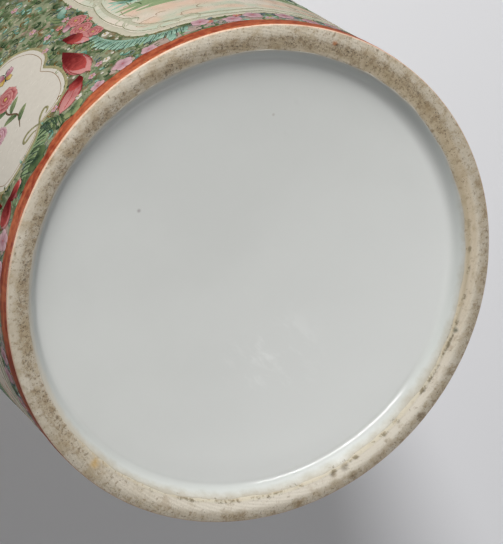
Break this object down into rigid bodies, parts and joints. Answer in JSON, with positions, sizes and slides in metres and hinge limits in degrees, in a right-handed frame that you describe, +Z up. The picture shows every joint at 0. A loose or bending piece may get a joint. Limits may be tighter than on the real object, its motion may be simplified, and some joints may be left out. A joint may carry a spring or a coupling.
{
  "type": "brush pot",
  "caption": "Straight cylindrical porcelain pot, open at the top, that stands on a bare foot ring and holds writing brushes or pens upright.",
  "frame": {"origin": "centre of the standing face of the foot ring", "axes": "+Z up along the pot's axis to its mouth; X and Y across, equal by symmetry"},
  "size_m": [0.1, 0.1, 0.125],
  "materials": {
    "porcelain": "fired white porcelain body, under the glaze",
    "bare_foot": "unglazed cream porcelain with dark kiln specks",
    "clear_glaze": "glossy grey-white glaze",
    "iron_red_enamel": "satin orange-red overglaze enamel",
    "painted_enamel": "glossy raised enamels in greens, rose, white and gilt"
  },
  "bodies": {
    "root": {"wall": "porcelain", "base_slab": "porcelain", "foot_ring": "bare_foot", "base_glaze": "clear_glaze", "inner_glaze": "clear_glaze", "foot_band": "iron_red_enamel", "enamel_field": "painted_enamel", "rim_band": "iron_red_enamel"}
  },
  "joints": []
}
